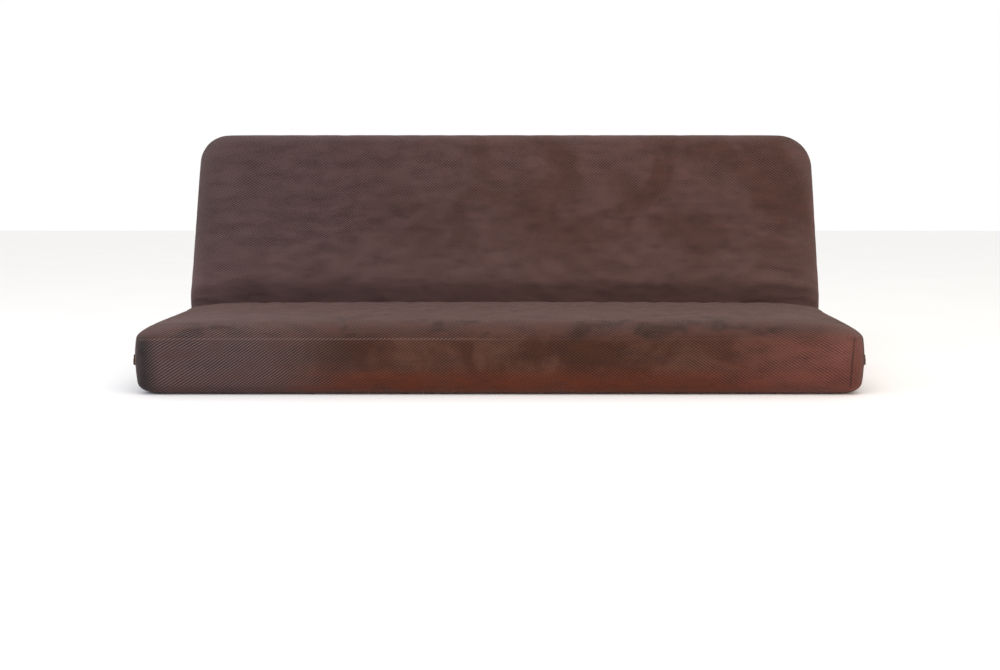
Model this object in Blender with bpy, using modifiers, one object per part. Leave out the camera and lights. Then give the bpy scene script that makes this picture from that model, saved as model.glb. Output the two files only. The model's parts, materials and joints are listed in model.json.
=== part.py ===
"""Full-size futon mattress in its sofa position, built as a seat half and a back half on one fold line.

Metres, +Z up, +X along the mattress. The seat half lies on Z = 0, the front edge is at -Y and the back half
leans towards +Y. The origin is the centre of the footprint.

Both halves are modelled in one panel frame: its X axis is the fold line, +Z is up through the thickness from
the deck side, and the half reaches from the fold, y = 0, to its far edge at y = -PANEL.
"""

import math

import bmesh
import bpy
from mathutils import Matrix, Vector

# ---- Driving sizes ----------------------------------------------------------------------------------------
LENGTH = 1.930  # over the cover, along X
PANEL = 0.686  # fold line to far edge, half of the 54 inch flat width
THICKNESS = 0.195  # sold as 8 inches, settled a little
RECLINE = math.radians(18.0)  # of the back half from the vertical
FRONT_CORNER_R = 0.048  # the seat half's far corners in plan
TOP_CORNER_R = 0.100  # the back half's
SITTING_EDGE_R = 0.060  # roll of the edges on the sitting side
DECK_EDGE_R = 0.038  # and on the deck side
CORNER_GROWTH = 0.8  # a corner's radius grows by this share of how far the edge has rolled in
CROWN_RUN = 0.240  # the sitting side slopes down to the ends over this length
CROWN_DROP = 0.022
END_LEVEL = 0.034  # height of the upright band round the zip; above and below it an end slopes in
END_SLOPE = 0.012  # as far as this at the sitting and deck sides

COVER_WALL = 0.003  # plush fabric with its backing
COVER_GAP = 0.004  # loose cover to ticking, room for the tuft washers and the zip
TICKING_WALL = 0.0015
LAYER_GAP = 0.0005  # between neighbouring soft layers
MITRE_GAP = 0.0008  # each half stands back from the fold's bisecting plane

LOWER_BATTING = 0.018
MIDDLE_BATTING = 0.022
UPPER_BATTING = 0.031  # the two foam cores share what is left

CREASE_TOP = 0.240  # the sitting side starts to roll into the crease this far from the fold
CREASE_DEEP = 0.186  # distance from the fold line to the bottom of that roll, along the bisecting plane

TUFT_COLUMNS = 4
TUFT_ROWS = 2
WASHER_R = 0.0125
WASHER_T = 0.0025
TWINE_R = 0.0015
TWINE_CLEARANCE = 0.0008

TAPE_W = 0.013
TAPE_T = 0.001
COIL_W = 0.0028
COIL_T = 0.0026
COIL_SLOT = 0.0012  # between the two coils, where the slider's neck runs
SLIT_CLEARANCE = 0.001
TOUCH_GAP = 0.0003  # between pieces that touch

PLATE_LENGTH = 0.015
PLATE_W = 0.010
OUTER_PLATE_T = 0.0015
INNER_PLATE_T = 0.0012
NECK_T = 0.0006
NECK_LENGTH = 0.005
BRIDGE_LENGTH = 0.0090
BRIDGE_POST = 0.0016
BRIDGE_BAR_R = 0.0007
SLIDER_FROM_CORNER = 0.012  # slider's middle to the start of the corner's curve
STOP_LENGTH = 0.003

TAB_T = 0.0015
TAB_EYE_R = 0.0028  # outside of the eye
TAB_W = 0.008
TAB_LENGTH = 0.026  # bar's axis to the tab's end
TAB_PLAY = 0.0006  # bar in the eye, and eye over the outer plate
TAB_CLEARANCE = 0.0012  # tab's edge to the cover

LABEL_SIZE = (0.080, 0.060)
LABEL_T = 0.0008

CORNER_STEPS = 5
EDGE_STEPS = 3
ROUND_STEPS = 10
HOLE_STEPS = 6
OVERRUN = 0.020  # how far a cutter or an uncut end runs past the stock
MERGE = 0.00001

# ---- Sizes worked out from those --------------------------------------------------------------------------
BISECT = (math.pi / 2 + RECLINE) / 2  # the bisecting plane's rise from the deck
TICKING_INSET = COVER_WALL + COVER_GAP
FILL_INSET = TICKING_INSET + TICKING_WALL + LAYER_GAP
MID = THICKNESS / 2
SLIT_HALF = COIL_SLOT / 2 + COIL_W + SLIT_CLEARANCE
ZIP_START = PANEL - FRONT_CORNER_R  # the zip's straight run on an end begins here, seen from the fold
PLATE_TOP = TOUCH_GAP + OUTER_PLATE_T
BRIDGE_RISE = max(TAB_W / 2 + TAB_CLEARANCE, PLATE_TOP + TAB_EYE_R + TAB_PLAY)  # bar's axis above the cover
TAB_NECK = PLATE_W / 2 + TAB_EYE_R - TAB_PLAY / 2  # bar's axis to where the tab starts to widen
CORNER_R = {"seat": FRONT_CORNER_R, "back": TOP_CORNER_R}
BACK_REACH = (PANEL - DECK_EDGE_R) * math.sin(RECLINE) - DECK_EDGE_R * math.cos(RECLINE) + DECK_EDGE_R
FOLD_Y = (PANEL - BACK_REACH) / 2  # puts the origin at the middle of the footprint

COLOURS = {
    "cover_plush": ((0.115, 0.062, 0.050), 0.95, 0.0),
    "ticking_cotton": ((0.72, 0.67, 0.56), 0.90, 0.0),
    "batting": ((0.85, 0.83, 0.78), 1.0, 0.0),
    "foam": ((0.86, 0.78, 0.55), 0.95, 0.0),
    "tuft_felt": ((0.55, 0.50, 0.42), 1.0, 0.0),
    "zip_tape": ((0.045, 0.028, 0.022), 0.85, 0.0),
    "zip_coil": ((0.040, 0.026, 0.020), 0.45, 0.0),
    "zip_metal": ((0.080, 0.062, 0.050), 0.35, 1.0),
    "label_cloth": ((0.86, 0.85, 0.82), 0.90, 0.0),
}


def clear_scene():
    for obj in list(bpy.data.objects):
        bpy.data.objects.remove(obj)


def new_collection(name):
    collection = bpy.data.collections.new(name)
    bpy.context.scene.collection.children.link(collection)
    return collection


def material(name):
    made = bpy.data.materials.get(name) or bpy.data.materials.new(name)
    colour, roughness, metallic = COLOURS[name]
    made.use_nodes = True
    shader = made.node_tree.nodes["Principled BSDF"]
    shader.inputs["Base Color"].default_value = (*colour, 1.0)
    shader.inputs["Roughness"].default_value = roughness
    shader.inputs["Metallic"].default_value = metallic
    return made


# ---- Modelling helpers ------------------------------------------------------------------------------------
def object_of(name, mesh_builder, collection=None):
    """An object from a bmesh, with its faces turned outwards."""
    bmesh.ops.recalc_face_normals(mesh_builder, faces=mesh_builder.faces)
    mesh = bpy.data.meshes.new(name)
    mesh_builder.to_mesh(mesh)
    mesh_builder.free()
    obj = bpy.data.objects.new(name, mesh)
    (collection or CUTTERS).objects.link(obj)
    return obj


def combine(target, other, operation="DIFFERENCE"):
    """A Boolean, applied at once. The other object is removed."""
    modifier = target.modifiers.new("boolean", "BOOLEAN")
    modifier.operation = operation
    modifier.solver = "EXACT"
    modifier.object = other
    graph = bpy.context.evaluated_depsgraph_get()
    graph.update()
    mesh = bpy.data.meshes.new_from_object(target.evaluated_get(graph))
    target.modifiers.clear()
    target.data = mesh
    bpy.data.objects.remove(other)
    return target


def box(name, low, high):
    """A box between two corners."""
    builder = bmesh.new()
    bmesh.ops.create_cube(builder, size=1.0)
    low, high = Vector(low), Vector(high)
    size = high - low
    bmesh.ops.scale(builder, vec=size, verts=builder.verts)
    bmesh.ops.translate(builder, vec=(low + high) / 2, verts=builder.verts)
    return object_of(name, builder)


def cylinder(name, radius, start, end, steps):
    """A cylinder between two points."""
    builder = bmesh.new()
    start, end = Vector(start), Vector(end)
    axis = end - start
    turn = Vector((0, 0, 1)).rotation_difference(axis).to_matrix().to_4x4()
    bmesh.ops.create_cone(
        builder,
        cap_ends=True,
        segments=steps,
        radius1=radius,
        radius2=radius,
        depth=axis.length,
        matrix=Matrix.Translation((start + end) / 2) @ turn,
    )
    return object_of(name, builder)


def plan_outline(half, inset, rolled_in, overrun):
    """A half's plan, open at the fold: along one end, round the far corners and back, as (x, y) points."""
    end = LENGTH / 2 - inset - rolled_in
    far = -PANEL + inset + rolled_in
    radius = CORNER_R[half] - inset + CORNER_GROWTH * rolled_in
    right = []
    for step in range(CORNER_STEPS + 1):
        angle = math.radians(90) * step / CORNER_STEPS
        x = end - radius + radius * math.cos(angle)
        y = far + radius - radius * math.sin(angle)
        right.append((x, y))
    left = [(-x, y) for x, y in reversed(right)]
    return [(end, overrun), *right, *left, (-end, overrun)]


def extruded(name, outline, low, high):
    """A flat outline raised from one height to another."""
    builder = bmesh.new()
    base = builder.faces.new([builder.verts.new((x, y, low)) for x, y in outline])
    raised = bmesh.ops.extrude_face_region(builder, geom=[base])["geom"]
    verts = [part for part in raised if isinstance(part, bmesh.types.BMVert)]
    bmesh.ops.translate(builder, vec=(0, 0, high - low), verts=verts)
    return object_of(name, builder)


def rolled_levels(inset):
    """The rolled edges from the deck side up: pairs of how far the outline has rolled in, and its height."""
    levels = []
    for radius, start, way in ((DECK_EDGE_R, 0.0, 1), (SITTING_EDGE_R, THICKNESS, -1)):
        radius -= inset
        quarter = []
        for step in range(EDGE_STEPS + 1):
            angle = math.radians(90) * step / EDGE_STEPS
            rolled_in = radius * (1 - math.sin(angle))
            height = start + way * (inset + radius * (1 - math.cos(angle)))
            quarter.append((rolled_in, height))
        levels += quarter[::way]
    return levels


def rounded_pad(name, half, inset, overrun):
    """A half as a solid, this far inside the cover's surface: rolled edges, and a crease and ends that slope.

    It is a loft of the plan outline through the rolled edges' levels, as a roll may be wider than a corner.
    """
    builder = bmesh.new()
    rings = []
    for rolled_in, height in rolled_levels(inset):
        outline = plan_outline(half, inset, rolled_in, overrun)
        rings.append([builder.verts.new((x, y, height)) for x, y in outline])
    for lower, upper in zip(rings, rings[1:]):
        for here, after in zip(range(-1, len(lower) - 1), range(len(lower))):
            builder.faces.new((lower[here], lower[after], upper[after], upper[here]))
    builder.faces.new(rings[0])
    builder.faces.new(rings[-1])
    pad = object_of(name, builder)
    planes = [("crease", crease_plane())]
    for side in (-1, 1):
        planes += [("crown", crown_plane(side)), ("end", end_plane(side, 1)), ("end", end_plane(side, -1))]
    for cutter, (point, outwards) in planes:
        combine(pad, half_space(cutter, point - inset * outwards, outwards))
    return pad


# Each plane is a point on it and the direction that points out of the pad.
def crease_plane():
    """The sitting side's slope down into the crease."""
    top = Vector((0, -CREASE_TOP, THICKNESS))
    deep = CREASE_DEEP * Vector((0, -math.cos(BISECT), math.sin(BISECT)))
    slope = deep - top
    return top, Vector((0, -slope.z, slope.y)).normalized()


def crown_plane(side):
    """The sitting side's slope down to an end."""
    top = Vector((side * (LENGTH / 2 - CROWN_RUN), 0, THICKNESS))
    return top, Vector((side * CROWN_DROP, 0, CROWN_RUN)).normalized()


def end_plane(side, level):
    """An end's slope above (level 1) or below (level -1) the band round the zip."""
    rise = (THICKNESS - END_LEVEL) / 2
    start = Vector((side * LENGTH / 2, 0, MID + level * END_LEVEL / 2))
    return start, Vector((side * rise, 0, level * END_SLOPE)).normalized()


def half_space(name, point, outwards):
    """A large block that lies beyond a plane."""
    reach = 2 * (LENGTH + PANEL)
    builder = bmesh.new()
    bmesh.ops.create_cube(builder, size=reach)
    bmesh.ops.translate(builder, vec=(0, 0, reach / 2), verts=builder.verts)
    turn = Vector((0, 0, 1)).rotation_difference(outwards).to_matrix().to_4x4()
    bmesh.ops.transform(builder, matrix=Matrix.Translation(point) @ turn, verts=builder.verts)
    return object_of(name, builder)


def mitre_cutter():
    """Takes away what lies past the fold's bisecting plane."""
    outwards = Vector((0, math.sin(BISECT), math.cos(BISECT)))
    return half_space("mitre", -MITRE_GAP * outwards, outwards)


def slab(name, low, high):
    """Everything between two heights of the panel."""
    x = LENGTH / 2 + OVERRUN
    return box(name, (-x, -PANEL - OVERRUN, low), (x, 3 * OVERRUN, high))


def shell(name, half, inset, wall):
    """A half's skin, open at the fold."""
    outer = rounded_pad(name, half, inset, OVERRUN)
    inner = rounded_pad("core", half, inset + wall, 2 * OVERRUN)
    combine(outer, inner)
    return combine(outer, mitre_cutter())


def finish(obj, name, frame, slot):
    """Names a piece, hangs it on its frame and gives it its material."""
    obj.name = name
    obj.data.name = name
    for collection in list(obj.users_collection):
        collection.objects.unlink(obj)
    MATTRESS.objects.link(obj)
    obj.data.materials.clear()
    obj.data.materials.append(material(slot))
    obj.parent = frame
    return obj


# ---- Frames -----------------------------------------------------------------------------------------------
def new_frame(name, matrix, parent=None):
    frame = bpy.data.objects.new(name, None)
    MATTRESS.objects.link(frame)
    frame.parent = parent
    frame.matrix_basis = matrix
    return frame


def panel_frames():
    """The seat's and the back's panel frames, both on the fold line.

    The back is the seat half turned over about the bisecting line, so its X axis points the other way.
    """
    place = Matrix.Translation((0, FOLD_Y, 0))
    x_axis = Vector((-1, 0, 0))
    y_axis = Vector((0, -math.sin(RECLINE), -math.cos(RECLINE)))
    z_axis = Vector((0, -math.cos(RECLINE), math.sin(RECLINE)))
    turn = Matrix((x_axis, y_axis, z_axis)).transposed().to_4x4()
    return new_frame("seat_frame", place), new_frame("back_frame", place @ turn)


# ---- Cover ------------------------------------------------------------------------------------------------
def seat_cover(frame):
    """One piece of fabric over the top, the front edge and the underside, slit at each end for the zip."""
    cover = shell("seat_cover", "seat", 0.0, COVER_WALL)
    for side in (-1, 1):
        ends = sorted((side * (LENGTH / 2 - OVERRUN), side * (LENGTH / 2 + OVERRUN)))
        slit = box(
            "slit",
            (ends[0], -ZIP_START, MID - SLIT_HALF),
            (ends[1], 2 * OVERRUN, MID + SLIT_HALF),
        )
        combine(cover, slit)
    finish(cover, "seat_cover", frame, "cover_plush")


def back_covers(frame):
    """The sitting side and the deck side of the cover, apart all round the zip."""
    for name, low, high in (
        ("back_cover_front", MID + SLIT_HALF, THICKNESS + OVERRUN),
        ("back_cover_rear", -OVERRUN, MID - SLIT_HALF),
    ):
        cover = shell(name, "back", 0.0, COVER_WALL)
        combine(cover, slab("keep", low, high), "INTERSECT")
        finish(cover, name, frame, "cover_plush")


# ---- Ticking ----------------------------------------------------------------------------------------------
def tickings(half, frame, tufts):
    """The inner casing: deck-side panel, boxing band and sitting-side panel, sewn where the rolls end."""
    parts = (
        ("underside", -OVERRUN, DECK_EDGE_R - LAYER_GAP, True),
        ("boxing", DECK_EDGE_R, THICKNESS - SITTING_EDGE_R, False),
        ("topside", THICKNESS - SITTING_EDGE_R + LAYER_GAP, THICKNESS + OVERRUN, True),
    )
    for part, low, high, tufted in parts:
        name = f"{half}_ticking_{part}"
        casing = shell(name, half, TICKING_INSET, TICKING_WALL)
        combine(casing, slab("keep", low, high), "INTERSECT")
        if tufted:
            pierce(casing, tufts)
        finish(casing, name, frame, "ticking_cotton")


# ---- Fill -------------------------------------------------------------------------------------------------
def fill_layers():
    """The stack from the deck side up: (name, slot, bottom, top)."""
    battings = LOWER_BATTING + MIDDLE_BATTING + UPPER_BATTING
    core = (THICKNESS - 2 * FILL_INSET - battings - 4 * LAYER_GAP) / 2
    sizes = (
        ("lower_batting", "batting", LOWER_BATTING),
        ("lower_foam", "foam", core),
        ("middle_batting", "batting", MIDDLE_BATTING),
        ("upper_foam", "foam", core),
        ("upper_batting", "batting", UPPER_BATTING),
    )
    layers, height = [], FILL_INSET
    for name, slot, size in sizes:
        layers.append((name, slot, height, height + size))
        height += size + LAYER_GAP
    return layers


def fill(half, frame, tufts):
    layers = fill_layers()
    for name, slot, low, high in layers:
        outermost_low = low == layers[0][2]
        outermost_high = high == layers[-1][3]
        keep_low = low - OVERRUN if outermost_low else low
        keep_high = high + OVERRUN if outermost_high else high
        node = f"{half}_{name}"
        layer = rounded_pad(node, half, FILL_INSET, OVERRUN)
        combine(layer, slab("keep", keep_low, keep_high), "INTERSECT")
        combine(layer, mitre_cutter())
        pierce(layer, tufts)
        finish(layer, node, frame, slot)


# ---- Tufts ------------------------------------------------------------------------------------------------
def tuft_places():
    """A grid of ties, as (x, y) in the panel frame, in equal fields of the level part of the sitting side."""
    field = (PANEL - FILL_INSET - CREASE_TOP) / TUFT_ROWS
    level = LENGTH - 2 * CROWN_RUN
    pitch = level / TUFT_COLUMNS
    return [
        ((column + 0.5) * pitch - level / 2, -CREASE_TOP - (row + 0.5) * field)
        for row in range(TUFT_ROWS)
        for column in range(TUFT_COLUMNS)
    ]


def pierce(layer, places):
    """Needle holes for the ties."""
    reach = THICKNESS + OVERRUN
    for x, y in places:
        radius = (TWINE_R + TWINE_CLEARANCE) / math.cos(math.pi / HOLE_STEPS)
        hole = cylinder("hole", radius, (x, y, -OVERRUN), (x, y, reach), HOLE_STEPS)
        combine(layer, hole)


def tuft_mesh():
    """A turned shape: a felt washer on each face of the ticking, joined by the tie's twine."""
    low = TICKING_INSET - TOUCH_GAP
    high = THICKNESS - low
    profile = (
        (0.0, high + WASHER_T),
        (WASHER_R, high + WASHER_T),
        (WASHER_R, high),
        (TWINE_R, high),
        (TWINE_R, low),
        (WASHER_R, low),
        (WASHER_R, low - WASHER_T),
        (0.0, low - WASHER_T),
    )
    mesh = bpy.data.meshes.new("tuft_profile")
    edges = [(i, i + 1) for i in range(len(profile) - 1)]
    mesh.from_pydata([(r, 0.0, z) for r, z in profile], edges, [])
    obj = bpy.data.objects.new("tuft_profile", mesh)
    CUTTERS.objects.link(obj)
    screw = obj.modifiers.new("turn", "SCREW")
    screw.steps = ROUND_STEPS
    screw.render_steps = ROUND_STEPS
    screw.use_merge_vertices = True
    screw.merge_threshold = MERGE
    graph = bpy.context.evaluated_depsgraph_get()
    graph.update()
    turned = bpy.data.meshes.new_from_object(obj.evaluated_get(graph))
    bpy.data.objects.remove(obj)
    return turned


def tufts(half, frame, places):
    turned = tuft_mesh()
    for number, (x, y) in enumerate(places, 1):
        obj = bpy.data.objects.new("tuft", turned.copy())
        CUTTERS.objects.link(obj)
        obj.location = (x, y, 0)
        finish(obj, f"{half}_tuft_{number}", frame, "tuft_felt")


# ---- Zip --------------------------------------------------------------------------------------------------
def zip_sections():
    """Each strip of the zip's section: (name, slot, outer inset, inner inset, bottom, top)."""
    tape_out = COVER_WALL + TOUCH_GAP
    coil_in = tape_out - TOUCH_GAP
    near = COIL_SLOT / 2
    sections = []
    for name, slot, outer, inner, width in (
        ("tape", "zip_tape", tape_out, tape_out + TAPE_T, TAPE_W),
        ("coil", "zip_coil", coil_in - COIL_T, coil_in, COIL_W),
    ):
        sections.append((f"{name}_upper", slot, outer, inner, MID + near, MID + near + width))
        sections.append((f"{name}_lower", slot, outer, inner, MID - near - width, MID - near))
    return sections


def seat_zips(frame):
    """Straight runs along the two ends, from the front corners to the fold."""
    for hand, side in (("left", -1), ("right", 1)):
        for name, slot, outer, inner, low, high in zip_sections():
            ends = sorted((side * (LENGTH / 2 - outer), side * (LENGTH / 2 - inner)))
            start = -ZIP_START + TOUCH_GAP
            strip = box("strip", (ends[0], start, low), (ends[1], OVERRUN, high))
            combine(strip, mitre_cutter())
            finish(strip, f"seat_zip_{hand}_{name}", frame, slot)


def back_zips(frame):
    """One run up an end, along the top edge and down the other end."""
    for name, slot, outer, inner, low, high in zip_sections():
        outline = plan_outline("back", outer, 0.0, OVERRUN) + plan_outline("back", inner, 0.0, OVERRUN)[::-1]
        strip = extruded("strip", outline, low, high)
        combine(strip, mitre_cutter())
        finish(strip, f"back_zip_{name}", frame, slot)


def zip_stops(frame):
    """The metal bars across the zip's two front ends, on the fabric just past the end of the slit."""
    for hand, side in (("left", -1), ("right", 1)):
        ends = sorted((side * (LENGTH / 2 + TOUCH_GAP), side * (LENGTH / 2 + PLATE_TOP)))
        start = -ZIP_START - STOP_LENGTH
        stop = box(
            "stop",
            (ends[0], start, MID - SLIT_HALF),
            (ends[1], start + STOP_LENGTH, MID + SLIT_HALF),
        )
        finish(stop, f"zip_stop_{hand}", frame, "zip_metal")


def slider_body(side):
    """A slider about its own middle: outer plate with its bridge, neck through the slot, inner plate."""

    def block(length, width, low, high, shift=0.0):
        ends = sorted((side * low, side * high))
        return box(
            "block",
            (ends[0], shift - length / 2, -width / 2),
            (ends[1], shift + length / 2, width / 2),
        )

    tape_in = COVER_WALL + TOUCH_GAP + TAPE_T
    inner_top = -(tape_in + TOUCH_GAP)
    body = block(PLATE_LENGTH, PLATE_W, TOUCH_GAP, PLATE_TOP)
    rounded = bmesh.new()
    rounded.from_mesh(body.data)
    across = [edge for edge in rounded.edges if abs((edge.verts[0].co - edge.verts[1].co).x) > MERGE]
    bmesh.ops.bevel(
        rounded,
        geom=across,
        offset=PLATE_W / 3,
        segments=EDGE_STEPS,
        profile=0.5,
        affect="EDGES",
    )
    rounded.to_mesh(body.data)
    rounded.free()
    shift = (NECK_LENGTH - PLATE_LENGTH) / 2 + SLIT_CLEARANCE
    sunk = OUTER_PLATE_T / 2
    combine(body, block(NECK_LENGTH, NECK_T, inner_top - INNER_PLATE_T / 2, PLATE_TOP - sunk, shift), "UNION")
    inner_length = PLATE_LENGTH - 2 * SLIT_CLEARANCE
    inner_width = PLATE_W - SLIT_CLEARANCE
    combine(body, block(inner_length, inner_width, inner_top - INNER_PLATE_T, inner_top), "UNION")
    for end in (-1, 1):
        post_shift = end * (BRIDGE_LENGTH - BRIDGE_POST) / 2
        post = block(BRIDGE_POST, BRIDGE_POST, PLATE_TOP - sunk, BRIDGE_RISE + BRIDGE_BAR_R / 2, post_shift)
        combine(body, post, "UNION")
    reach = (BRIDGE_LENGTH - BRIDGE_POST / 2) / 2
    bar = cylinder(
        "bar",
        BRIDGE_BAR_R,
        (side * BRIDGE_RISE, -reach, 0),
        (side * BRIDGE_RISE, reach, 0),
        ROUND_STEPS,
    )
    return combine(body, bar, "UNION")


def pull_tab():
    """A flat tab about the bridge bar's axis, hanging straight down. The bar runs through its round eye."""
    outline = []
    for step in range(ROUND_STEPS + 1):
        angle = math.pi * step / ROUND_STEPS
        outline.append((TAB_EYE_R * math.cos(angle), TAB_EYE_R * math.sin(angle)))
    shoulder = TAB_NECK + (TAB_W / 2 - TAB_EYE_R)
    nose = TAB_W / 4
    outline += [
        (-TAB_EYE_R, -TAB_NECK),
        (-TAB_W / 2, -shoulder),
        (-TAB_W / 2, -TAB_LENGTH + nose),
        (-TAB_W / 2 + nose, -TAB_LENGTH),
        (TAB_W / 2 - nose, -TAB_LENGTH),
        (TAB_W / 2, -TAB_LENGTH + nose),
        (TAB_W / 2, -shoulder),
        (TAB_EYE_R, -TAB_NECK),
    ]
    tab = extruded("tab", outline, -TAB_T / 2, TAB_T / 2)
    tab.data.transform(Matrix.Rotation(math.radians(90), 4, "X"))
    radius = (BRIDGE_BAR_R + TAB_PLAY) / math.cos(math.pi / ROUND_STEPS)
    return combine(tab, cylinder("hole", radius, (0, -TAB_T, 0), (0, TAB_T, 0), ROUND_STEPS))


def sliders(frame):
    """A slider on each end's run, parked at the front corner, and its pull."""
    for hand, side in (("left", -1), ("right", 1)):
        place = Matrix.Translation((side * LENGTH / 2, -ZIP_START + SLIDER_FROM_CORNER, MID))
        slider_frame = new_frame(f"{hand}_slider_frame", place, frame)
        finish(slider_body(side), f"{hand}_slider", slider_frame, "zip_metal")
        bar = Matrix.Translation((side * BRIDGE_RISE, 0, 0))
        pull_frame = new_frame(f"{hand}_pull_frame", bar, slider_frame)
        finish(pull_tab(), f"{hand}_pull", pull_frame, "zip_metal")


# ---- Label ------------------------------------------------------------------------------------------------
def sewn_label(frame):
    """A blank cloth label on the back ticking's deck side, under the cover."""
    width, height = LABEL_SIZE
    top = TICKING_INSET - TOUCH_GAP
    middle = -PANEL / 2
    label = box(
        "label",
        (-width / 2, middle - height / 2, top - LABEL_T),
        (width / 2, middle + height / 2, top),
    )
    finish(label, "sewn_label", frame, "label_cloth")


def build():
    seat, back = panel_frames()
    places = tuft_places()
    seat_cover(seat)
    back_covers(back)
    for half, frame in (("seat", seat), ("back", back)):
        tickings(half, frame, places)
        fill(half, frame, places)
        tufts(half, frame, places)
    seat_zips(seat)
    back_zips(back)
    zip_stops(seat)
    sliders(seat)
    sewn_label(back)


clear_scene()
MATTRESS = new_collection("futon_mattress")
CUTTERS = new_collection("cutters")
build()
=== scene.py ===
"""The finished looks of a full-size futon mattress in its sofa position, around the fixed frame."""

import math

import bpy
import numpy as np
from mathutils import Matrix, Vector
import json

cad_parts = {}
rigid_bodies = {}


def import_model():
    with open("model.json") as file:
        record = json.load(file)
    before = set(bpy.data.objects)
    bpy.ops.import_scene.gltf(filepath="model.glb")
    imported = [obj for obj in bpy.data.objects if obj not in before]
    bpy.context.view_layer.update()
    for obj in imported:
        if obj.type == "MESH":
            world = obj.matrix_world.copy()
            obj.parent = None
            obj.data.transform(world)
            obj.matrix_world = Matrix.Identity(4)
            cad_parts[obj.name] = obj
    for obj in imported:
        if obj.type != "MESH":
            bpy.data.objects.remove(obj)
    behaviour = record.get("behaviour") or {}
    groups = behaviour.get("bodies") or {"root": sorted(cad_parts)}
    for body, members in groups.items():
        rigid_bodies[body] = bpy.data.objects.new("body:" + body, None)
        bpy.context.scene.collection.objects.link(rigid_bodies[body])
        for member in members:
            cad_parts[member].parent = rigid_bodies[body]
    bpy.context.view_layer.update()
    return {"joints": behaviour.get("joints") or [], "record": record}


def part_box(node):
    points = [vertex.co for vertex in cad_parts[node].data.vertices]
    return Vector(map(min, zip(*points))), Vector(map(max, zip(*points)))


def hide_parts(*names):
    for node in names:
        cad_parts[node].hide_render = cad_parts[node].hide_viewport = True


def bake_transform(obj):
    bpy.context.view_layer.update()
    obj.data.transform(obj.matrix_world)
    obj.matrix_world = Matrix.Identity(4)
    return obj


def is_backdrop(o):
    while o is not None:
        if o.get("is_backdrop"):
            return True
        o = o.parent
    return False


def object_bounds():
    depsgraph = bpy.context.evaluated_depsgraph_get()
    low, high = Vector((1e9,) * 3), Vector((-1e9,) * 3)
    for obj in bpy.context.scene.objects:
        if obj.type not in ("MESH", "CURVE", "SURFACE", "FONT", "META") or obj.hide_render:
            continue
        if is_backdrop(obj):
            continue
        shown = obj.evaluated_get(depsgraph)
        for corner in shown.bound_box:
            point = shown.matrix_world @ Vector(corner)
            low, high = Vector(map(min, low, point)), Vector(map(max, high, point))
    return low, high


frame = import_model()

# ---- Camera -----------------------------------------------------------------------------------------------
# A short telephoto at seated eye height, a little to the right of the middle, tipped down slightly.
EYE = (0.109, -3.905, 0.590)
TILT = math.radians(2.55)
FOCAL = 47.9
SHIFT = (-0.0405, -0.1058)

lens = bpy.data.cameras.new("camera")
lens.lens = FOCAL
lens.sensor_width = 36.0
lens.shift_x, lens.shift_y = SHIFT
camera = bpy.data.objects.new("camera", lens)
camera.location = EYE
camera.rotation_euler = (math.radians(90) - TILT, 0, 0)
bpy.context.scene.collection.objects.link(camera)
bpy.context.scene.camera = camera

# ---- Plush cover ------------------------------------------------------------------------------------------
# One sewn cover over the whole mattress: the sitting side, wrapped over the front edge on to the deck side,
# and closed by a zip at mid-thickness round the two ends and the back's top edge. Knitted dimpled plush,
# brushed to a short pile that lies in every direction a hand has pushed it.
COVER_NODES = ("seat_cover", "back_cover_front", "back_cover_rear")
fold = next(joint for joint in frame["joints"] if joint["name"] == "fold")
FOLD_Y = fold["pos_m"][1]
FOLD_ANGLE = math.radians(fold["range_deg"][1])
seat_low, seat_high = (np.array(corner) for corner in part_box("seat_cover"))
HALF_LENGTH = (seat_high[0] - seat_low[0]) / 2
PANEL = FOLD_Y - seat_low[1]
THICK = seat_high[2]
MID = THICK / 2

CELL = 0.0168  # cloth grid before it is subdivided
TOP_ROLL = 0.048  # radius of the rolled edge on the sitting side
DECK_ROLL = 0.030  # and on the deck side
SETTLE = 0.16  # width over which the even grid takes up the roll's extra arc length
ROUNDING = 0.4  # how fast the outline gets rounder further in
CORNERS = {(-1, -1): 0.052, (1, -1): 0.040, (-1, 1): 0.090, (1, 1): 0.106}  # (end, far side): radius
ZIP_HALF = 0.0046  # half of the opening that shows the zip
ZIP_DEEP = 0.0030  # how far the opening lies below the outline
LIP_PROUD = 0.0008  # the lips beside it stand out a little
LIP_REACH = 0.0070
ZIP_ROWS = np.array([0.0135, 0.0085, 0.0060, ZIP_HALF, 0.0036])  # cloth rows above and below the middle


def smooth(value):
    """The cubic step 3v^2 - 2v^3 between 0 and 1."""
    value = np.clip(value, 0.0, 1.0)
    return value * value * (3 - 2 * value)


def settled(distance, roll):
    """Even distances from the border, moved so that the outer ones step evenly round a quarter roll."""
    arc = roll * math.pi / 2
    on_roll = roll * (1 - np.cos(np.clip(distance / arc, 0, 1) * math.pi / 2))
    beyond = distance - (arc - roll) * (1 - smooth((distance - arc) / SETTLE))
    return np.where(distance < arc, on_roll, beyond)


def inset_of(from_end, from_far, radius):
    """How deep a place lies inside the outline, and the outline's direction there, as (end, far side).

    Outlines further in are rounder: at inset i the corner radius is radius + ROUNDING i. Setting the
    distance from that corner's centre equal to it gives a quadratic in i.
    """
    grow, both = 1 + ROUNDING, from_end + from_far
    a = 2 * grow * grow - ROUNDING * ROUNDING
    b = 2 * (2 * grow - ROUNDING) * radius - 2 * grow * both
    c = radius * radius - 2 * radius * both + from_end**2 + from_far**2
    depth = (-b + np.sqrt(np.maximum(b * b - 4 * a * c, 0))) / (2 * a)
    centre, size = radius + grow * depth, radius + ROUNDING * depth
    corner = (from_end < centre) & (from_far < centre)
    at_end = from_end < from_far
    return (
        np.where(corner, depth, np.minimum(from_end, from_far)),
        np.where(corner, (centre - from_end) / size, at_end),
        np.where(corner, (centre - from_far) / size, ~at_end),
    )


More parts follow.
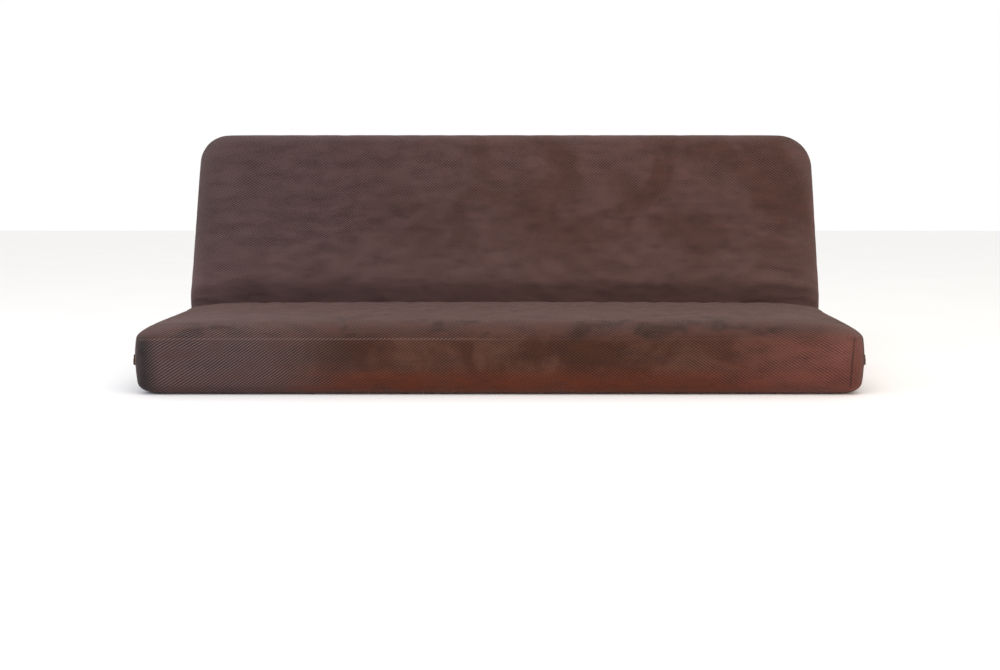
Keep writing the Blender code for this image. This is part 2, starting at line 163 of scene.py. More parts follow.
def plan(x, s, roll):
    """Grid points of a panel to their places in plan, their inset and the outline's outward direction.

    Near a corner the square patch of the grid is drawn in to a quarter disc: (a, b) goes to
    (a sqrt(1 - b^2 / 2), b sqrt(1 - a^2 / 2)).
    """
    side_x, side_s = np.sign(x), np.sign(s)
    out_x = HALF_LENGTH - settled(HALF_LENGTH - np.abs(x), roll)
    out_s = PANEL - settled(PANEL - np.abs(s), roll)
    radius = np.zeros_like(x)
    for (end, far), size in CORNERS.items():
        radius = np.where((side_x * end >= 0) & (side_s * far >= 0), size, radius)
    a = np.clip((out_x - (HALF_LENGTH - radius)) / radius, 0, 1)
    b = np.clip((out_s - (PANEL - radius)) / radius, 0, 1)
    corner = (a > 0) & (b > 0)
    out_x = np.where(corner, HALF_LENGTH - radius * (1 - a * np.sqrt(1 - b * b / 2)), out_x)
    out_s = np.where(corner, PANEL - radius * (1 - b * np.sqrt(1 - a * a / 2)), out_s)
    inset, normal_x, normal_s = inset_of(HALF_LENGTH - out_x, PANEL - out_s, radius)
    return side_x * out_x, side_s * out_s, inset, side_x * normal_x, side_s * normal_s


# The cover's shape lying flat, in bed position. The ends lean out to the zip, the sitting side swells in the
# middle and falls away to the ends, and the front edge is full.
LEVEL_BAND = 0.014  # upright part of an end, each way from the middle
END_SLOPE = 0.0095
EDGE_REACH = 0.11  # how far in from an edge its slope still shows
CROWN_RUN = 0.245
CROWN_DROP = 0.0205
SWELL = 0.004  # height of the dome
BELLY = 0.004  # fullness of the front edge
FALL_RUN = 0.20
FRONT_FALL = 0.004
PUFF_FLAT = 0.05
PUFF_RUN = 0.20
PUFF_ROLL = 0.026


def puffed(s):
    """1 on the fold and 0 away from it: there the edge is pushed up and out into a fuller, tighter roll."""
    return 1 - smooth((np.abs(s) - PUFF_FLAT) / PUFF_RUN)


def shaped(x, s, z, inset, out_x, out_s):
    """Places on the plain rounded slab to the padded shape, as an (n, 3) array.

    Edges move along the outline's direction, and less further in. An end moves in, in proportion to the
    height from the zip's band. The front edge moves out by a belly that falls off as that height's square.
    """
    end = out_x * out_x
    above = np.clip((np.abs(z - MID) - LEVEL_BAND) / (MID - LEVEL_BAND), 0, 1)
    push = -END_SLOPE * above * end + BELLY * (1 - above * above) * (1 - end) * (s < 0)
    push = push * (1 - smooth(inset / EDGE_REACH))
    return np.stack([x + out_x * push, s + out_s * push, z], axis=-1)


def crowned(x, s):
    """How far the sitting side stands above a plain slab: a dome, less parabolas at the ends and front."""
    dome = SWELL * (1 - (x / HALF_LENGTH) ** 2) * (1 - (s / PANEL) ** 2)
    outer = np.clip((np.abs(x) - (HALF_LENGTH - CROWN_RUN)) / CROWN_RUN, 0, 1)
    front = np.clip((-s - (PANEL - FALL_RUN)) / FALL_RUN, 0, 1)
    return dome - CROWN_DROP * outer * outer * (1 - puffed(s)) - FRONT_FALL * front * front


def panel(grid_x, grid_s, roll, sitting):
    """The sitting or deck side out to the zip band. Its height falls on the roll as a quarter circle."""
    x, s, inset, out_x, out_s = plan(grid_x, grid_s, roll)
    roll = roll - (roll - PUFF_ROLL) * puffed(s)
    along = np.clip(1 - inset / roll, 0, 1)
    level = np.sqrt(1 - along * along)
    drop = roll * (1 - level)
    z = THICK - drop + level * crowned(x, s) if sitting else drop
    return shaped(x, s, z, inset, out_x, out_s)


RUN_OUT_AT = 0.85  # where the opening starts, as a share of the front corner's radius
RUN_OUT = 0.010
END_PART = 0.6  # outside this share of the half length a rim point is on an end or near it


def zip_share(x, s):
    """1 where the cover opens at the zip, 0 on the front edge, with a short run-out at the front corners."""
    start = -PANEL + CORNERS[(-1, -1)] * RUN_OUT_AT
    return np.where(np.abs(x) > END_PART * HALF_LENGTH, smooth((s - start) / RUN_OUT), s > 0)


columns, rows = round(2 * HALF_LENGTH / CELL), round(2 * PANEL / CELL)
grid_x, grid_s = np.meshgrid(
    np.linspace(-HALF_LENGTH, HALF_LENGTH, columns + 1),
    np.linspace(-PANEL, PANEL, rows + 1),
    indexing="ij",
)
rim_i = np.concatenate([
    np.arange(columns), np.full(rows, columns), np.arange(columns, 0, -1), np.zeros(rows, int)
])
rim_j = np.concatenate([
    np.zeros(columns, int), np.arange(rows), np.full(columns, rows), np.arange(rows, 0, -1)
])
rim_x, rim_s = grid_x[rim_i, rim_j], grid_s[rim_i, rim_j]
rim_edge = np.repeat([0, 1, 2, 3], [columns, rows, columns, rows])  # front, right end, top edge, left end

top_z, deck_z = THICK - TOP_ROLL, DECK_ROLL
band_z = np.concatenate([
    [(top_z + MID + ZIP_ROWS[0]) / 2],
    MID + ZIP_ROWS,
    MID - ZIP_ROWS[::-1],
    np.linspace(MID - ZIP_ROWS[0], deck_z, 4)[1:-1],
])
upper = plan(rim_x, rim_s, TOP_ROLL)
lower = plan(rim_x, rim_s, DECK_ROLL)
band = []
for height in band_z:
    share = (height - deck_z) / (top_z - deck_z)
    x, s, inset, out_x, out_s = (share * a + (1 - share) * b for a, b in zip(upper, lower))
    ring = shaped(x, s, np.full_like(x, height), inset, out_x, out_s)
    lip = abs(height - MID)
    groove = -ZIP_DEEP if lip < ZIP_HALF - 1e-6 else LIP_PROUD * (lip < LIP_REACH)
    groove = groove * zip_share(x, s)
    ring[:, 0] += groove * out_x
    ring[:, 1] += groove * out_s
    band.append(ring)
top_points = panel(grid_x, grid_s, TOP_ROLL, True).reshape(-1, 3)
deck_points = panel(grid_x, grid_s, DECK_ROLL, False).reshape(-1, 3)
flat_points = np.concatenate([top_points, deck_points, *band])

index = np.arange(len(top_points)).reshape(grid_x.shape)
deck_start, band_start = len(top_points), 2 * len(top_points)
quads = np.stack([index[:-1, :-1], index[1:, :-1], index[1:, 1:], index[:-1, 1:]], axis=-1).reshape(-1, 4)
rim_top = index[rim_i, rim_j]
around = len(rim_i)
band_rings = [band_start + k * around + np.arange(around) for k in range(len(band))]
rings = [rim_top, *band_rings, deck_start + rim_top]
faces = [quads, quads[:, ::-1] + deck_start]
for above, below in zip(rings[:-1], rings[1:]):
    faces.append(np.stack([above, below, np.roll(below, -1), np.roll(above, -1)], axis=-1))
faces = np.concatenate(faces)

# Cloth coordinates in metres: the sitting side as it lies, the front edge and the deck side carried on from
# it, and each end and the top edge as strips of their own that are sewn on at the corners.
down = np.concatenate([[0.0], top_z - band_z, [top_z - deck_z]])
top_uv = np.stack([grid_x, grid_s], axis=-1).reshape(-1, 2)
deck_uv = np.stack([grid_x, -PANEL - down[-1] - (grid_s + PANEL)], axis=-1).reshape(-1, 2)
uv = [top_uv[quads], deck_uv[quads[:, ::-1]]]
for above, below in zip(down[:-1], down[1:]):
    corners = []
    for depth, step in ((above, 0), (below, 0), (below, 1), (above, 1)):
        x, s = np.roll(rim_x, -step), np.roll(rim_s, -step)
        choices = [
            (x, -PANEL - depth + 0 * x),
            (HALF_LENGTH + depth + 0 * x, s),
            (x, PANEL + depth + 0 * x),
            (-HALF_LENGTH - depth + 0 * x, s),
        ]
        u = np.choose(rim_edge, [choice[0] for choice in choices])
        v = np.choose(rim_edge, [choice[1] for choice in choices])
        corners.append(np.stack([u, v], axis=-1))
    uv.append(np.stack(corners, axis=1))
uv = np.concatenate(uv)


def new_piece(name, points, faces, uv=None):
    """A smooth-shaded mesh object from an (n, 3) array, its faces and, per face corner, its UV."""
    mesh = bpy.data.meshes.new(name)
    mesh.from_pydata(points.tolist(), [], faces if isinstance(faces, list) else faces.tolist())
    if uv is not None:
        layer = mesh.uv_layers.new(name="cloth")
        layer.data.foreach_set("uv", uv.reshape(-1).astype(np.float32))
    mesh.polygons.foreach_set("use_smooth", [True] * len(mesh.polygons))
    mesh.update()
    piece = bpy.data.objects.new(name, mesh)
    bpy.context.scene.collection.objects.link(piece)
    return piece


# The cloth is a little longer than the fill, and settles on it in slow ripples. It is held at the zip and on
# the deck side, taut near all its edges, lies on the fill elsewhere, and moves no further than MOST_SETTLED.
CLOTH_SLACK = 0.010
FILL_HOLD = 0.42  # share of the pull that keeps the cloth on the fill
MOST_SETTLED = 0.006
TAUT_RUN = 0.12
TAUT_SHARE = 0.3  # of the movement, at the edges
SETTLING_FRAMES = 20
HELD_EACH_WAY = 0.02  # held band at the zip, above and below the middle
HELD_INWARDS = 0.06  # and in from the outline


def settled_cloth(points, held):
    """Where a cloth simulation leaves the flat cover's points. held is 1 where the cloth can't move."""
    trial = new_piece("settling_cover", points, faces)
    group = trial.vertex_groups.new(name="held")
    for level in np.unique(held):
        group.add(np.flatnonzero(held == level).tolist(), float(level), "REPLACE")
    cloth = trial.modifiers.new("cloth", "CLOTH")
    settings = cloth.settings
    settings.quality = 5
    settings.mass = 0.3
    settings.tension_stiffness = settings.compression_stiffness = 25
    settings.shear_stiffness = 12
    settings.bending_stiffness = 6
    settings.vertex_group_mass = "held"
    settings.pin_stiffness = 1.0
    settings.shrink_min = -CLOTH_SLACK
    settings.use_pressure = True
    settings.uniform_pressure_force = 1.5
    settings.effector_weights.gravity = 0
    cloth.collision_settings.use_collision = False
    cloth.point_cache.frame_end = SETTLING_FRAMES
    scene = bpy.context.scene
    for moment in range(1, SETTLING_FRAMES + 1):
        scene.frame_set(moment)
    result = trial.evaluated_get(bpy.context.evaluated_depsgraph_get()).to_mesh()
    after = np.empty(len(points) * 3, np.float32)
    result.vertices.foreach_get("co", after)
    scene.frame_set(1)
    bpy.data.objects.remove(trial)
    moved = after.reshape(-1, 3) - points
    from_edge = np.minimum(HALF_LENGTH - np.abs(points[:, 0]), PANEL - np.abs(points[:, 1]))
    moved *= (TAUT_SHARE + (1 - TAUT_SHARE) * smooth(from_edge / TAUT_RUN))[:, None]
    length = np.linalg.norm(moved, axis=1, keepdims=True)
    return points + moved * np.minimum(1, MOST_SETTLED / np.maximum(length, 1e-9))


on_deck = flat_points[:, 2] < DECK_ROLL * 0.5
at_end = np.abs(flat_points[:, 0]) > HALF_LENGTH - HELD_INWARDS
at_rim = at_end | (flat_points[:, 1] > PANEL - HELD_INWARDS)
at_zip = (np.abs(flat_points[:, 2] - MID) < HELD_EACH_WAY) & at_rim
flat_points = settled_cloth(flat_points, np.where(on_deck | at_zip, 1.0, FILL_HOLD))

# The fold. A point turns about the fold line by a share of the whole angle, which grows from 0 to 1 across
# the bisecting plane.
BEND_HALF = 0.050  # distance from that plane to where the share is 0 or 1
HALVINGS = 34  # of the angle's bracket, enough for full precision
HEEL_R = 0.030  # the cover is drawn round the deck side's outer corner
MITRE = (math.pi + FOLD_ANGLE) / 2
HEEL = HEEL_R / math.tan((math.pi - FOLD_ANGLE) / 2)


def deck_line(s):
    """The deck side's profile when folded: two straight runs and an arc that touches both, as (y, z)."""
    seat = np.stack([s, 0 * s], axis=-1)
    back = np.stack([s * math.cos(FOLD_ANGLE), s * math.sin(FOLD_ANGLE)], axis=-1)
    centre = HEEL_R / math.sin((math.pi - FOLD_ANGLE) / 2) * np.array([math.cos(MITRE), math.sin(MITRE)])
    angle = -math.pi / 2 + FOLD_ANGLE / 2 * (1 + np.clip(s / HEEL, -1, 1))
    arc = centre + HEEL_R * np.stack([np.cos(angle), np.sin(angle)], axis=-1)
    return np.where((np.abs(s) < HEEL)[:, None], arc, np.where((s < 0)[:, None], seat, back))


def turned(s, z):
    """A flat profile point to its folded place (y, z) about the fold line, by bisection on its angle there.

    A point at angle g lies flat at g - FOLD_ANGLE w, where w steps from 0 to 1 across the bisecting plane.
    """
    radius, flat = np.hypot(s, z), np.arctan2(z, s)
    low, high = flat, flat + FOLD_ANGLE
    for _ in range(HALVINGS):
        angle = (low + high) / 2
        share = smooth((radius * np.sin(MITRE - angle) + BEND_HALF) / (2 * BEND_HALF))
        short = angle - FOLD_ANGLE * share < flat
        low, high = np.where(short, angle, low), np.where(short, high, angle)
    return np.stack([radius * np.cos(high), radius * np.sin(high)], axis=-1)


def folded(points):
    """Points of the flat mattress to the sofa position, in the frame."""
    s, z = points[:, 1], np.maximum(points[:, 2], 0)
    place = turned(s, z)
    heel = deck_line(s) - turned(s, 0 * s)
    place += heel * ((1 - np.clip(z / THICK, 0, 1)) ** 3)[:, None]
    return np.stack([points[:, 0], place[:, 0] + FOLD_Y, place[:, 1]], axis=-1)


cover = new_piece("plush_cover", folded(flat_points), faces, uv)
divide = cover.modifiers.new("divide", "SUBSURF")
divide.levels = divide.render_levels = 1
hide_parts(*COVER_NODES)
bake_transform(cover)


def linear(code):
    """An sRGB hex colour as linear RGBA."""
    channels = [int(code[i : i + 2], 16) / 255 for i in (1, 3, 5)]
    return (*(c / 12.92 if c <= 0.04045 else ((c + 0.055) / 1.055) ** 2.4 for c in channels), 1.0)


def add_node(tree, kind, inputs=(), out=0, **settings):
    """Adds a node with its settings and its inputs, each a value or a socket to link. Returns one output."""
    made = tree.nodes.new(kind)
    for name, value in settings.items():
        setattr(made, name, value)
    for name, value in dict(inputs).items():
        if isinstance(value, bpy.types.NodeSocket):
            tree.links.new(value, made.inputs[name])
        else:
            made.inputs[name].default_value = value
    return made.outputs[out]


def new_finish(name, **sockets):
    """A material with only its shader and output, as (material, its tree, its shader)."""
    made = bpy.data.materials.new(name)
    made.use_nodes = True
    shader = made.node_tree.nodes["Principled BSDF"]
    for socket, value in sockets.items():
        shader.inputs[socket.replace("_", " ")].default_value = value
    return made, made.node_tree, shader


# Polyester plush, knitted in a lattice of small dimples and brushed. The pile glows at a grazing view and
# shows cloudy patches where hands have laid it over. Painted into its colour are shade between the dimples,
# cool light at the left, warm light at the right, a darker left end, a warm reflection at the foot of the
# front edge, a lighter lower back and highlights on the ridges, along the front edge's turn and at the front
# right corner.
ROW_ANGLE = math.radians(35)
ROW_PITCH = 0.0061  # across the rows of dimples
PILE_GRAIN = 0.0035  # clumps of pile, coarser than the fibres so that they show
HAND_MARK = 0.20  # width of a patch of laid pile
STREAK = 0.09  # width of a streak in the knit, which runs along the mattress
SMEAR = 0.12  # length of a dark smear of pressed pile along the front of the seat
GATHER = 0.030  # width of a pucker where the corner is sewn
DART = 0.903  # where the end's corner panel is sewn to the front edge, along the cloth
DART_HALF = 0.0045
plush, tree, shader = new_finish(
    "brushed_dimple_plush",
    Roughness=0.92,
    Specular_IOR_Level=0.15,
    Sheen_Weight=0.22,
    Sheen_Roughness=0.42,
    Sheen_Tint=linear("#dac6c3"),
)
cloth = add_node(tree, "ShaderNodeUVMap", uv_map="cloth")
along, down = (add_node(tree, "ShaderNodeSeparateXYZ", {0: cloth}, out=axis) for axis in "XY")

# Two families of rows cross to make the dimples: a sine across each.
rows = []
for climb in (1, -1):
    turn = 2 * math.pi / ROW_PITCH
    across_rows = (-climb * math.sin(ROW_ANGLE) * turn, math.cos(ROW_ANGLE) * turn, 0)
    pair = {0: cloth, 1: across_rows}
    phase = add_node(tree, "ShaderNodeVectorMath", pair, "Value", operation="DOT_PRODUCT")
    rows.append(add_node(tree, "ShaderNodeMath", {0: phase}, operation="SINE"))

fields = {"along": along, "down": down}
for name, size, stretch, detail, roughness, distortion in (
    ("marks", HAND_MARK, (1, 1, 1), 5, 0.6, 0.5),
    ("streaks", STREAK, (1, 2.8, 1), 4, 0.6, 0),
    ("pile", PILE_GRAIN, (1, 1, 1), 2, 0.5, 0),
    ("gathers", GATHER, (1, 0.5, 1), 1, 0.5, 1.2),
    ("smears", SMEAR, (1, 1.6, 1), 3, 0.55, 0.4),
):
    spread = add_node(tree, "ShaderNodeMapping", {"Vector": cloth, "Scale": stretch})
    noise = {"Vector": spread, "Scale": 1 / size, "Detail": detail, "Roughness": roughness}
    noise["Distortion"] = distortion
    fields[name] = add_node(tree, "ShaderNodeTexNoise", noise)
from_dart = add_node(tree, "ShaderNodeMath", {0: along, 1: DART}, operation="SUBTRACT")
fields["from_dart"] = add_node(tree, "ShaderNodeMath", {0: from_dart}, operation="ABSOLUTE")
EDGE_RUN = 0.135
TURN, FOOT = -PANEL, -PANEL - EDGE_RUN  # the front edge's top and bottom, down the cloth
PUCKER_IN, PUCKER_BELOW = 0.012, 0.004  # the gathered corner's centre, from the dart and the turn
corner_top = (DART - PUCKER_IN, TURN - PUCKER_BELOW, 0)
TURN_HIGHLIGHT_LINE = TURN + 0.002  # the line of the painted highlight where the sitting side turns over the front edge
from_welt = add_node(tree, "ShaderNodeMath", {0: down, 1: TURN_HIGHLIGHT_LINE}, operation="SUBTRACT")
fields["from_welt"] = add_node(tree, "ShaderNodeMath", {0: from_welt}, operation="ABSOLUTE")
pair = {0: cloth, 1: corner_top}
fields["from_corner"] = add_node(tree, "ShaderNodeVectorMath", pair, "Value", operation="DISTANCE")

# The rows that climb to the right are raised at the left end, both alike in the middle, and their mirror
# image at the right end. Where the pile is laid flat the dimples fade. Each line here gives a share's name,
# its field, the field's value at either end of the step, and the share there.
shares = {}
for name, field, low, high, least, most in (
    ("crossing", "along", -0.55, 0.75, 0.20, 0.74),
    ("open_pile", "streaks", 0.36, 0.62, 0.50, 1.30),
    ("below_turn", "down", TURN + 0.015, TURN, 0, 1),
    ("above_foot", "down", FOOT, FOOT + 0.020, 0, 1),
    ("in_dart", "from_dart", DART_HALF, 0, 0, 1),
    ("near_corner", "from_corner", 0.060, 0.010, 0, 1),
    # The next three shares mask the painted highlight on the ridges: it grows toward the left, keeps to the
    # front of the seat and the front edge, and fades on the left end's face.
    ("lit_end", "along", -0.34, -0.68, 0.04, 0.42),
    ("lit_seat", "down", TURN + 0.30, TURN + 0.02, 0, 1),
    ("unlit_end", "along", -0.92, -0.86, 0.25, 1),
    # The next two shares place the painted highlight along the front edge's turn, strongest toward the left.
    ("in_welt", "from_welt", 0.0040, 0.0012, 0, 0.40),
    ("welt_run", "along", 0.10, -0.15, 0.15, 1),
    # A painted highlight round the front right corner.
    ("corner_glow", "from_corner", 0.090, 0.015, 0, 0.28),
    ("smear", "smears", 0.50, 0.68, 0, 0.62),
    ("smear_front", "down", TURN - 0.020, TURN + 0.020, 0, 1),
    ("smear_back", "down", TURN + 0.20, TURN + 0.07, 0, 1),
):
    span = {"Value": fields[field], "From Min": low, "From Max": high, "To Min": least, "To Max": most}
    shares[name] = add_node(tree, "ShaderNodeMapRange", span, interpolation_type="SMOOTHSTEP")
crossed = add_node(tree, "ShaderNodeMix", {0: shares["crossing"], 2: rows[0], 3: rows[1]})
for name, one, other in (
    ("weave", crossed, shares["open_pile"]),
    ("edge_dart", shares["in_dart"], shares["below_turn"]),
    ("gather", fields["gathers"], shares["near_corner"]),
    ("lit", shares["lit_end"], shares["lit_seat"]),
    ("lit", "lit", shares["unlit_end"]),
    ("lit", "lit", shares["above_foot"]),
    ("welt", shares["in_welt"], shares["welt_run"]),
    ("smear", shares["smear"], shares["smear_front"]),
    ("smear", "smear", shares["smear_back"]),
    ("dart", "edge_dart", shares["above_foot"]),
):
    one = shares[one] if isinstance(one, str) else one
    shares[name] = add_node(tree, "ShaderNodeMath", {0: one, 1: other}, operation="MULTIPLY")
weave, dart = shares["weave"], shares["dart"]
height = fields["pile"]
for field, depth in ((weave, 0.9), (shares["gather"], 9.0), (dart, -2.4)):
    height = add_node(tree, "ShaderNodeMath", {0: field, 1: depth, 2: height}, operation="MULTIPLY_ADD")
bump = add_node(tree, "ShaderNodeBump", {"Height": height, "Strength": 0.85, "Distance": 0.0014})

# Colours laid over each other, on the sitting side and on the front edge. Each line is a field, its values
# where the colour starts and where it is full, the colour's strength there, and the colour.
tones = []
for ground, layers in (
    ("#4d342e", (
        ("marks", 0.40, 0.60, 1.00, "#573f3b"),
        # Painted cool light: greyer toward the left.
        ("along", 0.30, -0.85, 0.85, "#503f3e"),
        # Painted light: the back lighter toward the fold.
        ("down", 0.42, 0.18, 0.45, "#69524e"),
        ("down", 0.12, -0.12, 0.90, "#50362f"),
    )),
    ("#43271c", (
        ("marks", 0.42, 0.60, 1.00, "#56382d"),
        # Painted reflection: warm red light thrown up on the foot of the front edge.
        ("down", TURN - 0.060, TURN - 0.108, 0.82, "#5a2a18"),
        # Painted cool light: greyer toward the left.
        ("along", -0.32, -0.70, 0.88, "#4b3936"),
        # Painted shade: the left end's face much darker.
        ("along", -0.86, -0.92, 0.97, "#262021"),
        # Painted warm light: redder and lighter toward the right.
        ("along", 0.45, 0.88, 0.80, "#6a3f37"),
        ("down", FOOT - 0.010, FOOT - 0.060, 1.00, "#4f3b38"),
    )),
):
    tone = linear(ground)
    for field, low, high, strength, colour in layers:
        span = {"Value": fields[field], "From Min": low, "From Max": high, "To Max": strength}
        share = add_node(tree, "ShaderNodeMapRange", span, interpolation_type="SMOOTHSTEP")
        tone = add_node(tree, "ShaderNodeMix", {0: share, 6: tone, 7: linear(colour)}, 2, data_type="RGBA")
    tones.append(tone)
span = {"Value": down, "From Min": TURN + 0.035, "From Max": TURN - 0.015}
share = add_node(tree, "ShaderNodeMapRange", span, interpolation_type="SMOOTHSTEP")
tone = add_node(tree, "ShaderNodeMix", {0: share, 6: tones[0], 7: tones[1]}, 2, data_type="RGBA")
span = {"Value": fields["streaks"], "From Min": 0.55, "From Max": 0.72, "To Max": 0.32}
streak = add_node(tree, "ShaderNodeMapRange", span, interpolation_type="SMOOTHSTEP")
# Laid on last: the knit's streaks, the dark smears of pressed pile and the painted highlight at the front
# right corner.
for share, colour in ((streak, "#3c2a25"), (shares["smear"], "#231b16"), (shares["corner_glow"], "#8a5c54")):
    tone = add_node(tree, "ShaderNodeMix", {0: share, 6: tone, 7: linear(colour)}, 2, data_type="RGBA")
# Painted shade: the colour is darkened to about half in the hollows between the dimples.
span = {"Value": weave, "From Min": -1.0, "From Max": 0.25, "To Min": 0.52, "To Max": 1.0}
shade = add_node(tree, "ShaderNodeMapRange", span, interpolation_type="SMOOTHSTEP")
layer = {0: 1.0, 6: tone, 7: shade}
tone = add_node(tree, "ShaderNodeMix", layer, 2, data_type="RGBA", blend_type="MULTIPLY")
# Painted highlight on the dimples' ridges, light and cool, strongest toward the left.
span = {"Value": weave, "From Min": 0.05, "From Max": 0.75, "To Max": shares["lit"]}
painted_ridge_highlight = add_node(tree, "ShaderNodeMapRange", span, interpolation_type="SMOOTHSTEP")
seam = add_node(tree, "ShaderNodeMath", {0: dart, 1: 0.55}, operation="MULTIPLY")
# Painted highlight: a thin dotted light line where the pile turns over the front edge.
span = {"Value": weave, "From Min": -0.3, "From Max": 0.5, "To Max": shares["welt"]}
painted_turn_highlight = add_node(tree, "ShaderNodeMapRange", span, interpolation_type="SMOOTHSTEP")
for share, colour in ((painted_ridge_highlight, "#7d7070"), (painted_turn_highlight, "#8b7672"), (seam, "#21140f")):
    tone = add_node(tree, "ShaderNodeMix", {0: share, 6: tone, 7: linear(colour)}, 2, data_type="RGBA")
tree.links.new(tone, shader.inputs["Base Color"])
tree.links.new(bump, shader.inputs["Normal"])
cover.data.materials.append(plush)

# ---- Zip --------------------------------------------------------------------------------------------------
# A size 5 nylon coil zip from one front corner round the back's top edge to the other: two woven tapes sewn
# inside the opening's lips, each with a coil along its edge. The closed coils lie just below the cover.
FRONT_CURVE = 0.048
ZIP_START = FRONT_CURVE - PANEL  # where the front corners' curves end
TAPE_STEP = 0.006
TAPE_EDGES = (0.0006, 0.0136)  # from mid-thickness
TAPE_DEPTHS = (0.0031, 0.0041)  # below the cover's outline
COIL_CENTRE = (0.0018, 0.0019)  # from mid-thickness, and below the outline
COIL_R = 0.0012
LOOP_PITCH = 0.0026  # wider than the real 1.7 mm so that single loops show
LOOP_SIDES = 7
LOOP_SWELL = 0.14  # a loop's change of radius along the coil, as a share


def zip_line(step):
    """The outline from one front corner round the far side to the other, as x, s and outward direction.

    It is three straight runs and two quarter arcs by arc length: left end, far left corner, top edge, far
    right corner and right end. The direction turns evenly round each corner.
    """
    left, right = CORNERS[(-1, 1)], CORNERS[(1, 1)]
    pieces = []
    for length, start, turn_from, turn_to, radius in (
        (PANEL - left - ZIP_START, (-HALF_LENGTH, ZIP_START), 180, 180, 0),
        (left * math.pi / 2, (-HALF_LENGTH + left, PANEL - left), 180, 90, left),
        (2 * HALF_LENGTH - left - right, (-HALF_LENGTH + left, PANEL), 90, 90, 0),
        (right * math.pi / 2, (HALF_LENGTH - right, PANEL - right), 90, 0, right),
        (PANEL - right - ZIP_START, (HALF_LENGTH, PANEL - right), 0, 0, 0),
    ):
        share = np.arange(0, length, step) / length
        angle = np.radians(turn_from + (turn_to - turn_from) * share)
        out = np.stack([np.cos(angle), np.sin(angle)], axis=-1)
        forward = np.stack([np.sin(angle), -np.cos(angle)], axis=-1)
        run = radius * out if radius else length * share[:, None] * forward
        pieces.append(np.concatenate([np.array(start) + run, out], axis=-1))
    return np.concatenate(pieces)


def carried(line, sideways, deeper):
    """A closed profile carried along the zip line. Its coordinates are height from the middle and depth.

    Both are arrays of one row per place on the line, or one row for all of them.
    """
    count, sides = len(line), sideways.shape[-1]
    deep = np.broadcast_to(deeper, (count, sides))
    points = np.stack([
        line[:, 0:1] - line[:, 2:3] * deep,
        line[:, 1:2] - line[:, 3:4] * deep,
        MID + np.broadcast_to(sideways, (count, sides)),
    ], axis=-1).reshape(-1, 3)
    number = np.arange(count * sides).reshape(count, sides)
    after = np.roll(number, -1, axis=1)
    walls = np.stack([number[:-1], after[:-1], after[1:], number[1:]], axis=-1).reshape(-1, 4)
    return points, walls, number[0], number[-1][::-1]


def zip_piece(name, kind, line, sideways, deeper, side):
    """One continuous strip of the zip, which stands for its pieces on the seat half and the back half."""
    points, walls, first, last = carried(line, sideways, deeper)
    if side > 0:
        walls, first, last = walls[:, ::-1], first[::-1], last[::-1]
    piece = new_piece(name, folded(points), [*walls.tolist(), first[::-1].tolist(), last[::-1].tolist()])
    level = "upper" if side > 0 else "lower"
    places = ("seat_zip_left", "back_zip", "seat_zip_right")
    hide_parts(*(f"{place}_{kind}_{level}" for place in places))
    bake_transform(piece)
    return piece


# Woven polyester tape: a close matt twill, a shade darker than the plush.
tape_cloth, tree, shader = new_finish("woven_zip_tape", Roughness=0.85)
TWILL_PITCH = 0.0020  # wider than the real ribs so that they show
coords = add_node(tree, "ShaderNodeTexCoord", out="Object")
ribs = {"Vector": coords, "Scale": 0.314 / TWILL_PITCH, "Distortion": 0.6}  # a band is 0.314 wide at scale 1
twill = add_node(tree, "ShaderNodeTexWave", ribs, 1, bands_direction="DIAGONAL")
dyes = {0: twill, 6: linear("#2b1b17"), 7: linear("#46302a")}
tint = add_node(tree, "ShaderNodeMix", dyes, 2, data_type="RGBA")
tree.links.new(tint, shader.inputs["Base Color"])
# Nylon monofilament: smooth and half glossy, dyed through.
nylon, tree, shader = new_finish("dyed_nylon_coil", Roughness=0.38)
DYE_PATCH = 0.011
coords = add_node(tree, "ShaderNodeTexCoord", out="Object")
dye = add_node(tree, "ShaderNodeTexNoise", {"Vector": coords, "Scale": 1 / DYE_PATCH, "Detail": 2.0})
dyes = {0: dye, 6: linear("#2a1a16"), 7: linear("#3d2922")}
tint = add_node(tree, "ShaderNodeMix", dyes, 2, data_type="RGBA")
tree.links.new(tint, shader.inputs["Base Color"])

around_loop = np.linspace(0, 2 * math.pi, LOOP_SIDES, endpoint=False)
for side in (1, -1):
    line = zip_line(TAPE_STEP)
    near, far = (side * edge for edge in TAPE_EDGES)
    shallow, deeper = TAPE_DEPTHS
    tape = zip_piece(
        "zip_tape_upper" if side > 0 else "zip_tape_lower",
        "tape",
        line,
        np.array([near, far, far, near]),
        np.array([shallow, shallow, deeper, deeper]),
        side,
    )
    tape.data.materials.append(tape_cloth)
    # The coil's profile runs the other way round, so it is made with the other side. By that each coil also
    # stands for the nodes of the other level.
    line = zip_line(LOOP_PITCH / 4)
    swell = COIL_R * (1 - LOOP_SWELL + LOOP_SWELL * np.cos(np.arange(len(line)) * math.pi / 2))[:, None]
    coil = zip_piece(
        "zip_coil_upper" if side > 0 else "zip_coil_lower",
        "coil",
        line,
        side * (COIL_CENTRE[0] + swell * np.cos(around_loop)),
        COIL_CENTRE[1] + swell * np.sin(around_loop),
        -side,
    )
    coil.data.materials.append(nylon)

